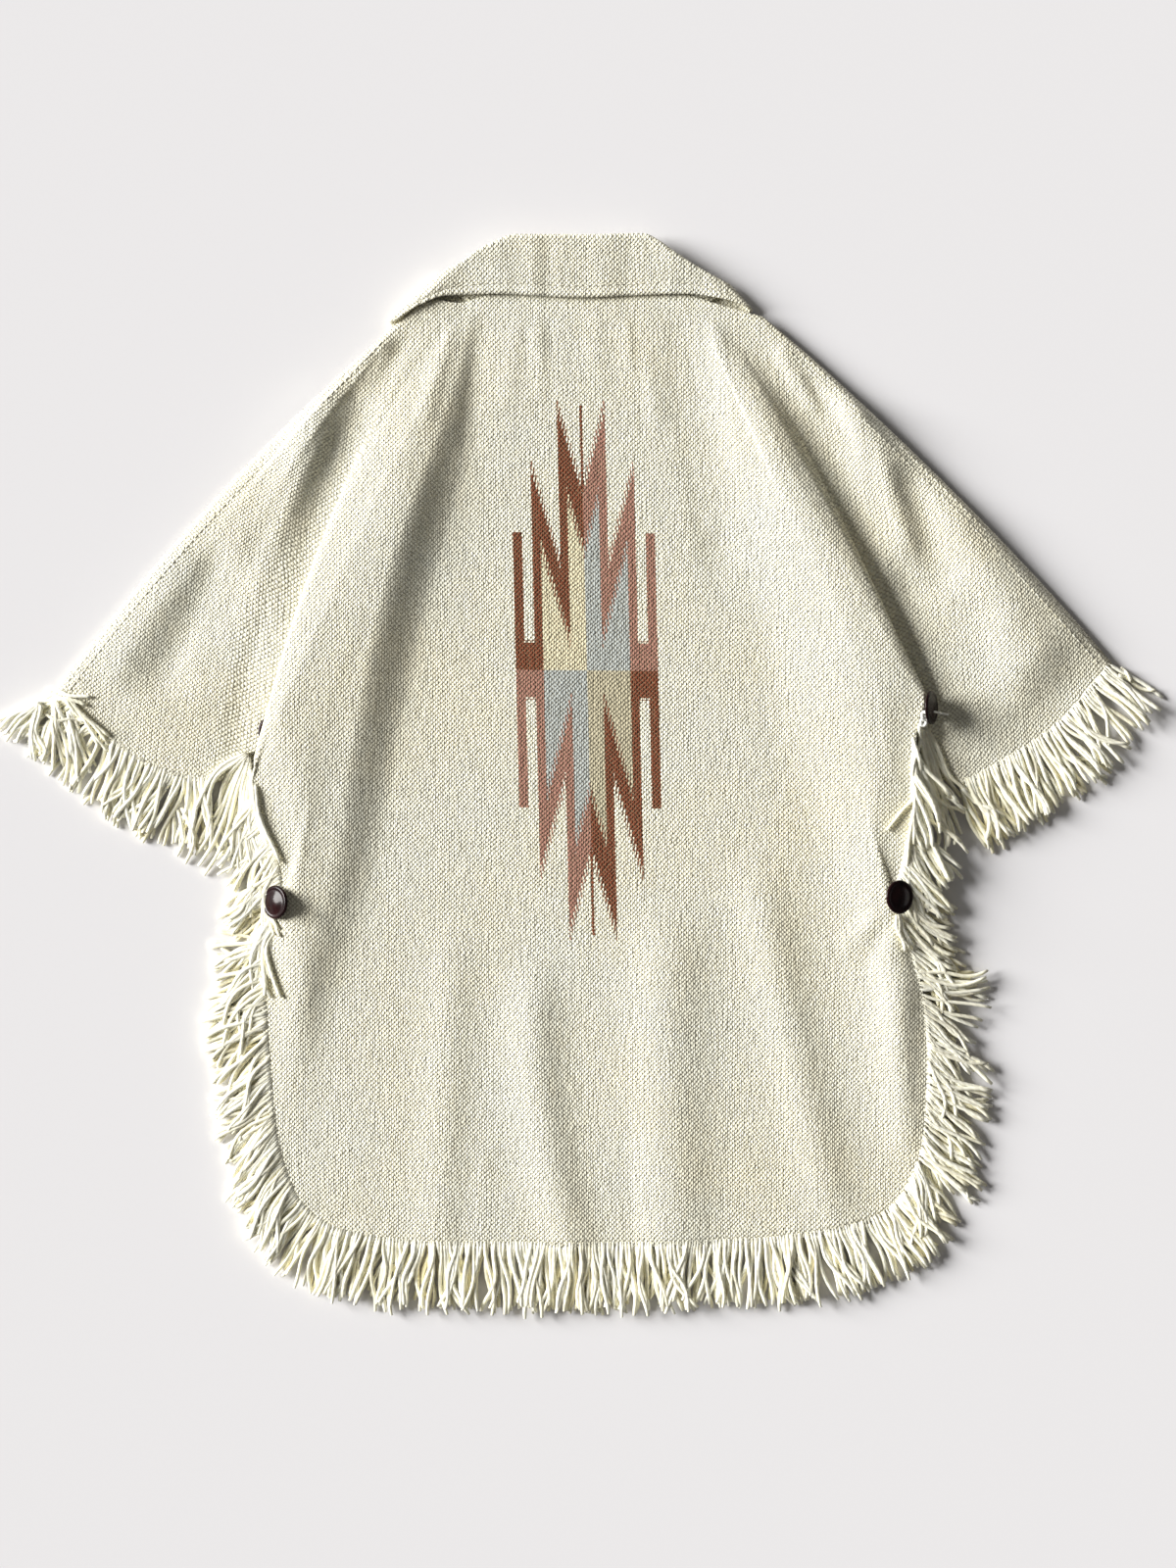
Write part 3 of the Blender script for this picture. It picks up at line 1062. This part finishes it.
# The fronts' fringe lies lowest, then the back's, then single yarns and bunches that lie over both.
FRONT_PITCH = 2.6
lay_x, lay_y = BACK.columns["edge_x"][lay_rows], BACK.columns["edge_y"][lay_rows]
lays = np.array(list(FRINGE_LAY.values()), float)
hem_lays = slice(list(FRINGE_LAY).index("left hem corner"), list(FRINGE_LAY).index("right hem corner") + 1)
with_fronts = {"left": [], "right": []}
for side, sign in (("left", -1), ("right", 1)):
    curve = front_curve(side)
    parts = [
        ("sleeve", f"{side} cuff", f"{side} cuff corner"),
        ("side", "left side" if side == "left" else "right flank", f"{side} skirt"),
        ("hem", f"{side} skirt", "front opening foot"),
    ]
    for i, (part, first, last) in enumerate(parts):
        random = np.random.default_rng(60 + 3 * (sign + 1) + i)
        begin, end = curve.index(first), curve.index(last)
        count = int((curve.at[end] - curve.at[begin]) / FRONT_PITCH)
        share = (np.arange(count) + 0.5 + random.uniform(-0.3, 0.3, count)) / count
        us = curve.along(share, begin, end)
        roots, away = edge_of(lambda u, c=curve, s=sign: front_point(c, s, u, np.ones_like(u)), us)
        away = away * -sign
        if part == "hem":
            lay = [np.interp(roots[:, 0], lay_x[hem_lays], lays[hem_lays, j]) for j in range(3)]
        else:
            near = [np.argmin(np.hypot(lay_x - x, lay_y - y)) for x, y in roots[:, :2]]
            lay = [lays[near, j] for j in range(3)]
        lines = fringe_lines(roots, away, lay, random, length=YARN_LENGTH + FRONT_INSET - 2)
        radii = yarn_radii(count, random)
        for line, radius in zip(lines, radii):
            pile.lower(line, radius.max(), None)
        tones = random.uniform(0.1, 0.75, count)
        name = f"fringe_front_{side}_{part}"
        made = strands(name + "_yarns", lines, radii, tones, fringe_wool, name)
        with_fronts[side].append(made)

# Loose yarns that lie over the rest: path in plan, how many, how far they part.
LEFT_SLEEVE_LOOSE = [
    ([(-376, 33), (-378, 14), (-384, -6)], 5, 9), ([(-388, 50), (-394, 30), (-402, 12)], 5, 8),
    ([(-401, 55), (-413, 46), (-429, 31)], 7, 9), ([(-402, 54), (-408, 34), (-403, 14)], 4, 5),
    ([(-391, 57), (-387, 40), (-379, 11)], 5, 7), ([(-380, 50), (-372, 24), (-367, 1)], 4, 6),
    ([(-382, 60), (-368, 44), (-351, 23)], 4, 3), ([(-397, 65), (-382, 61), (-366, 56)], 2, 2),
    ([(-398, 48), (-387, 43), (-369, 42)], 1, 0), ([(-300, -22), (-290, -42), (-300, -58)], 2, 3),
]
LEFT_SIDE_LOOSE = [
    ([(-249, 18), (-263, 7), (-271, -7), (-277, -26)], 7, 12),
    ([(-249, 16), (-256, -8), (-264, -38)], 7, 9),
    ([(-248, 12), (-254, -14), (-254, -42), (-249, -60)], 6, 6),
    ([(-247, 6), (-243, -20), (-236, -48), (-231, -70)], 6, 4),
    ([(-251, 14), (-262, -14), (-278, -52), (-288, -66)], 3, 6),
    ([(-244, -79), (-254, -92), (-268, -105)], 4, 5),
]
RIGHT_SIDE_LOOSE = [
    ([(243, 40), (245, 20), (243, -3)], 5, 4), ([(246, 38), (257, 17), (264, -3), (274, -12)], 4, 4),
    ([(245, 30), (252, 4), (262, -24), (266, -40)], 5, 6),
    ([(246, 0), (252, -20), (263, -40), (261, -55)], 4, 5),
    ([(242, -8), (240, -40), (240, -68)], 4, 5), ([(250, -54), (260, -64), (269, -76)], 3, 4),
    ([(242, -12), (230, -26), (216, -37)], 1, 0), ([(258, -14), (268, -18), (277, -24)], 2, 3),
    ([(274, -7), (289, -21), (305, -27)], 1, 0), ([(245, -81), (238, -94), (241, -108)], 1, 0),
    ([(226, -99), (229, -112), (234, -126)], 4, 3), ([(232, -99), (238, -105), (246, -112)], 3, 3),
]
RIGHT_SLEEVE_LOOSE = [([(389, 76), (404, 69), (418, 66)], 1, 0), ([(391, 82), (397, 78), (398, 70)], 1, 0)]
# The runs of fringe on the back: first and last row, pitch, seed, loose yarns, whether it lies over the
# cloth, and how fast its yarns fall from their roots, least and most, in mm each mm.
FRINGES = [
    ("left_sleeve", "left shoulder seam", "left cuff corner", 2.4, 41, LEFT_SLEEVE_LOOSE, False, (0.1, 0.45)),
    ("right_sleeve", "right cuff corner", "right shoulder seam", 2.4, 45, RIGHT_SLEEVE_LOOSE, False,
     (-0.08, 0.16)),
    ("hem", "left hem corner", "right hem corner", 2.3, 43, [], False, (-0.05, 0.25)),
    ("left_side", "left underarm", "left hem corner", 1.85, 42, LEFT_SIDE_LOOSE, True, (0.1, 0.45)),
    ("right_side", "right hem corner", "right underarm", 2.2, 44, RIGHT_SIDE_LOOSE, True, (0.06, 0.26)),
]
for run, first, last, pitch, seed, loose, over_cloth, falls in FRINGES:
    random = np.random.default_rng(seed)
    first, last = BACK.index(first), BACK.index(last)
    count = int((BACK.at[last] - BACK.at[first]) / pitch)
    share = (np.arange(count) + 0.5 + random.uniform(-0.35, 0.35, count)) / count
    us = BACK.along(share, first, last)
    roots, away = edge_of(back_edge_at, us)
    lines = fringe_lines(roots, away, [lay_at(us, i) for i in range(3)], random)
    radii = yarn_radii(count, random)
    for k in random.permutation(count):
        pile.lower(lines[k], radii[k].max(), on_back if over_cloth else None, steep=random.uniform(*falls))
    for path, many, spread in loose:
        more = bundle_lines(path, many, spread, random)
        more_radii = yarn_radii(many, random)
        for line, radius in zip(more, more_radii):
            pile.lower(line, radius.max(), on_back, rooted=0)
        lines, radii = np.concatenate([lines, more]), np.concatenate([radii, more_radii])
    tones = random.uniform(0.45, 1.0, len(lines))
    name = f"fringe_back_{run}"
    strands(name + "_yarns", lines, radii, tones, fringe_wool, name)


# ---- buttons ----
# Each one's place on the table, how far it leans to the right, in degrees, and its shank.
BUTTONS = {
    "button_left_upper": (-229, 35, 9.6, -4, 0.6),
    "button_left_lower": (-225.2, -90, 11.8, -40, 3.4),
    "button_right_upper": (246.2, 52, 22.6, 66, 2.5),
    "button_right_lower": (224.4, -86, 16.2, 34, 3.4),
}


# Radius and height above the shank, from the middle of its back over its rim to the middle of its face.
BUTTON_PROFILE = [
    (0, 0.1), (9.0, 0), (11.0, 0.25), (12.2, 0.9), (BUTTON_RADIUS, 1.5), (12.3, 2.3), (11.6, 2.9),
    (10.7, 3.1), (9.9, 2.95), (9.0, 2.75), (7.4, 3.1), (5.2, 3.75), (2.6, 4.2), (0, 4.35),
]


def button(name, x, y, z, lean, shank):
    """A turned button: a rounded rim about a shallow dish, with a low dome in its middle."""
    bm = bmesh.new()
    verts = [bm.verts.new((r * MM, 0, (shank + h) * MM)) for r, h in BUTTON_PROFILE]
    edges = [bm.edges.new(pair) for pair in zip(verts, verts[1:])]
    bmesh.ops.spin(bm, geom=verts + edges, cent=(0, 0, 0), axis=(0, 0, 1), angle=math.tau, steps=48,
                   use_merge=True)
    bmesh.ops.remove_doubles(bm, verts=bm.verts, dist=1e-6)
    bmesh.ops.recalc_face_normals(bm, faces=bm.faces)
    place = Matrix.Translation(Vector((np.array([x, y, z]) + SHIFT) * MM))
    bmesh.ops.transform(bm, matrix=place @ Matrix.Rotation(math.radians(lean), 4, "Y"), verts=bm.verts)
    made = piece_of(name + "_turned", mesh_of(name, bm), horn, name)
    rounding = made.modifiers.new("rounding", "SUBSURF")
    rounding.levels = rounding.render_levels = 1


for name, sizes in BUTTONS.items():
    button(name, *sizes)

# ---- sewing ----
STITCH_RISE = np.array([-0.5, 0.2, 0.32, 0.2, -0.5])
STITCH_PITCH, STITCH_LENGTH, THREAD_RADIUS = 5.0, 3.7, 0.42


def stitched(name, path, above):
    """A row of straight stitches of sewing thread, at a height above a path of points in mm."""
    at = np.concatenate([[0], np.cumsum(np.linalg.norm(np.diff(path, axis=0), axis=1))])
    count = int(at[-1] / STITCH_PITCH)
    one = np.linspace(-STITCH_LENGTH / 2, STITCH_LENGTH / 2, len(STITCH_RISE))
    along = (np.arange(count)[:, None] + 0.5) * STITCH_PITCH + one
    lines = np.stack([np.interp(along, at, path[:, k]) for k in range(3)], axis=-1)
    lines[..., 2] += above + STITCH_RISE
    radii = np.full((count, len(STITCH_RISE)), THREAD_RADIUS)
    random = np.random.default_rng(count)
    return strands(name, lines, radii, random.uniform(0.1, 0.6, count), thread, sides=5)


def beside_shoulder(side, inside):
    """A path on the back at a distance from its shoulder seam."""
    last = len(BACK.at) - 1
    us = np.linspace(0, 3.5, 141)
    t = np.linspace(0.1, 0.985, 160)
    u, t = np.meshgrid(us if side == "left" else last - us, t, indexing="ij")
    points = back_point(u, t)
    away = np.hypot(*np.moveaxis(points - points[:1], -1, 0)[:2])
    return np.array([[np.interp(inside, away[:, k], points[:, k, c]) for c in range(3)]
                     for k in range(t.shape[1])])


def beside_collar_edge(inside):
    u = np.linspace(COLLAR.names.index("fall left"), COLLAR.names.index("fall right"), 160)
    width = np.linalg.norm(collar_point(u, 3) - collar_point(u, 2), axis=1)
    return collar_point(u, 3 - inside / width)


SHOULDER_ROWS = (("outer", 3.2), ("inner", 8.6))  # distances from the shoulder seam
on_shoulders = [stitched(f"stitches_shoulder_{side}_{row}", beside_shoulder(side, inside), CLOTH / 2)
                for side in ("left", "right") for row, inside in SHOULDER_ROWS]
on_collar = [stitched("stitches_collar", beside_collar_edge(TOPSTITCH_IN), COLLAR_CLOTH / 2)]

# The thread that holds the upper button at the right, knotted and cut short.
KNOT = (244.8, 46.5, 27.2)


LOOP_SHARE = 0.93  # how much of a full turn each loop makes


def knot_loop(off, wide, long, turn, lift):
    """A loop of the thread: its place beside the knot, half width, half length, turn and rise."""
    around = LAY * math.tau * LOOP_SHARE + turn
    ring = stack(np.cos(around) * wide, np.sin(around) * long, np.sin(around * 2 + turn) * lift)
    return ring + np.array(KNOT) + off


def cut_end():
    """The thread's end, which sticks out to the right and sinks."""
    x, y, z = KNOT
    return stack(np.linspace(x + 2, x + 18, RINGS), y + 3 - 2.2 * smooth(LAY), z + 1.5 - 9 * LAY)


knot_lines = np.array([
    knot_loop((0, 0, 0), 2.0, 2.3, 0.3, 0.8), knot_loop((-0.8, -5.2, -1.2), 1.9, 2.4, 2.2, 0.8),
    knot_loop((0.6, -2.4, 0.4), 2.4, 1.3, 1.2, 0.5), cut_end(),
])
knot_radii = np.repeat([[1.25], [1.3], [1.1], [0.8]], RINGS, axis=1)
knot = strands("knot_right_upper", knot_lines, knot_radii, np.ones(4), thread, sides=8)

# ---- what each piece of cloth was cut to ----
for side in ("left", "right"):
    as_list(with_fronts[side])

# ---- stage, light and camera ----
FLOOR_HALF, FLOOR_DROP = 4.0, 0.0004  # in metres
bm = bmesh.new()
bmesh.ops.create_grid(bm, x_segments=2, y_segments=2, size=FLOOR_HALF)
floor = placed("floor", mesh_of("floor", bm))
floor.location.z = -FLOOR_DROP
floor_finish = Finish("pale_floor")
grain = floor_finish.noise(floor_finish.node("ShaderNodeTexCoord").outputs["Object"], 300, 2)
floor_color = floor_finish.scaled(linear(229, 228, 231)[:3], 1 + grain * 0.01)
floor.data.materials.append(floor_finish.finish(floor_color, 0.9, Specular_IOR_Level=0.1))

world = bpy.data.worlds.new("studio")
bpy.context.scene.world = world
world.use_nodes = True
backdrop = world.node_tree.nodes["Background"]
backdrop.inputs["Color"].default_value = (1.0, 0.97, 0.92, 1)
backdrop.inputs["Strength"].default_value = 0.12

SUN_HEADING, SUN_HEIGHT, SUN_WIDTH, SUN_ENERGY = math.radians(-14), math.radians(23), math.radians(32), 7.6
sun = bpy.data.lights.new("window", "SUN")
sun.energy, sun.angle, sun.color = SUN_ENERGY, SUN_WIDTH, (1.0, 0.99, 0.965)
sun_holder = placed("window", sun)
level = math.cos(SUN_HEIGHT)
beam = Vector((math.cos(SUN_HEADING) * level, math.sin(SUN_HEADING) * level, -math.sin(SUN_HEIGHT)))
sun_holder.rotation_mode = "QUATERNION"
sun_holder.rotation_quaternion = beam.to_track_quat("-Z", "Y")

# The camera looks straight down at a picture 1.152 m high, whose middle is 3.6 mm below the table's.
LENS, SENSOR, FRAME_HIGH, MIDDLE_Y = 85.0, 36.0, 1.152, -3.6
camera = placed("camera", bpy.data.cameras.new("camera"))
camera.data.lens, camera.data.sensor_width = LENS, SENSOR
camera.data.clip_start, camera.data.clip_end = 0.05, 20
aim = Vector((np.array([0, MIDDLE_Y, 0]) + SHIFT) * MM)
camera.location = aim + Vector((0, 0, FRAME_HIGH * LENS / SENSOR))
bpy.context.scene.camera = camera
bpy.context.scene.view_settings.view_transform = "Standard"
